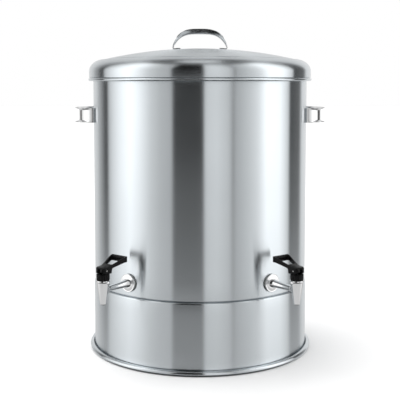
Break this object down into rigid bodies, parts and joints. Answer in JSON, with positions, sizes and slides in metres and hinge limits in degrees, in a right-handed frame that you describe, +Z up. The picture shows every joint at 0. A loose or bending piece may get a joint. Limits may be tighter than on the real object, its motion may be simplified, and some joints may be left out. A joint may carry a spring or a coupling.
{
  "type": "beverage urn",
  "caption": "Insulated round stainless beverage urn: lift-off domed lid with strap handle, strap side handles, rolled-edge base skirt and self-closing spout taps with black loop levers.",
  "frame": {"origin": "on the floor under the middle of the urn's bounding box; the urn's own axis is 4 mm behind it, at y = +0.004", "axes": "+Z up; the taps are at the front, -Y; the side handles are on X"},
  "size_m": [0.446, 0.4068, 0.5686],
  "materials": {
    "brushed_steel": "satin",
    "tank_steel": "satin",
    "handle_steel": "polished",
    "bright_steel": "gloss",
    "chrome": "polished",
    "black_plastic": "gloss",
    "silicone": "matte",
    "foam": "matte"
  },
  "bodies": {
    "root": {"outer_jacket": "brushed_steel", "inner_tank": "tank_steel", "base_skirt": "brushed_steel", "base_pan": "tank_steel", "side_insulation": "foam", "base_insulation": "foam", "left_side_handle": "handle_steel", "right_side_handle": "handle_steel", "left_tap_body": "chrome", "left_tap_flange": "chrome", "left_tap_bonnet": "black_plastic", "left_tap_spring": "bright_steel", "left_wall_spacer": "bright_steel", "left_lock_nut": "bright_steel", "left_outer_gasket": "silicone", "left_inner_gasket": "silicone", "right_tap_body": "chrome", "right_tap_flange": "chrome", "right_tap_bonnet": "black_plastic", "right_tap_spring": "bright_steel", "right_wall_spacer": "bright_steel", "right_lock_nut": "bright_steel", "right_outer_gasket": "silicone", "right_inner_gasket": "silicone"},
    "lid": {"lid_shell": "brushed_steel", "lid_pan": "tank_steel", "lid_insulation": "foam", "lid_handle": "handle_steel"},
    "left_stem": {"left_tap_stem": "bright_steel", "left_tap_seat_cup": "silicone", "left_tap_pivot_pin": "bright_steel"},
    "left_lever": {"left_tap_lever": "black_plastic"},
    "right_stem": {"right_tap_stem": "bright_steel", "right_tap_seat_cup": "silicone", "right_tap_pivot_pin": "bright_steel"},
    "right_lever": {"right_tap_lever": "black_plastic"}
  },
  "joints": [
    {"name": "lid_lift", "type": "slide", "parent": "root", "child": "lid", "axis": [0, 0, 1], "range_m": [0, 0.15]},
    {"name": "left_stem_lift", "type": "slide", "parent": "root", "child": "left_stem", "axis": [0, 0, 1], "range_m": [0, 0.004], "deforming": ["left_tap_spring"]},
    {"name": "left_lever_tilt", "type": "hinge", "parent": "left_stem", "child": "left_lever", "pos_m": [-0.15494, -0.19219, 0.175], "axis": [0.7848, -0.6198, 0], "range_deg": [0, 65], "stiffness_Nm_per_rad": 0.03, "springref_deg": -28.65},
    {"name": "right_stem_lift", "type": "slide", "parent": "root", "child": "right_stem", "axis": [0, 0, 1], "range_m": [0, 0.004], "deforming": ["right_tap_spring"]},
    {"name": "right_lever_tilt", "type": "hinge", "parent": "right_stem", "child": "right_lever", "pos_m": [0.15494, -0.19219, 0.175], "axis": [0.7848, 0.6198, 0], "range_deg": [0, 65], "stiffness_Nm_per_rad": 0.03, "springref_deg": -28.65}
  ],
  "couplings": [
    {"joint": "left_stem_lift", "follows": "left_lever_tilt", "m_per_rad": 0.003525},
    {"joint": "right_stem_lift", "follows": "right_lever_tilt", "m_per_rad": 0.003525}
  ]
}
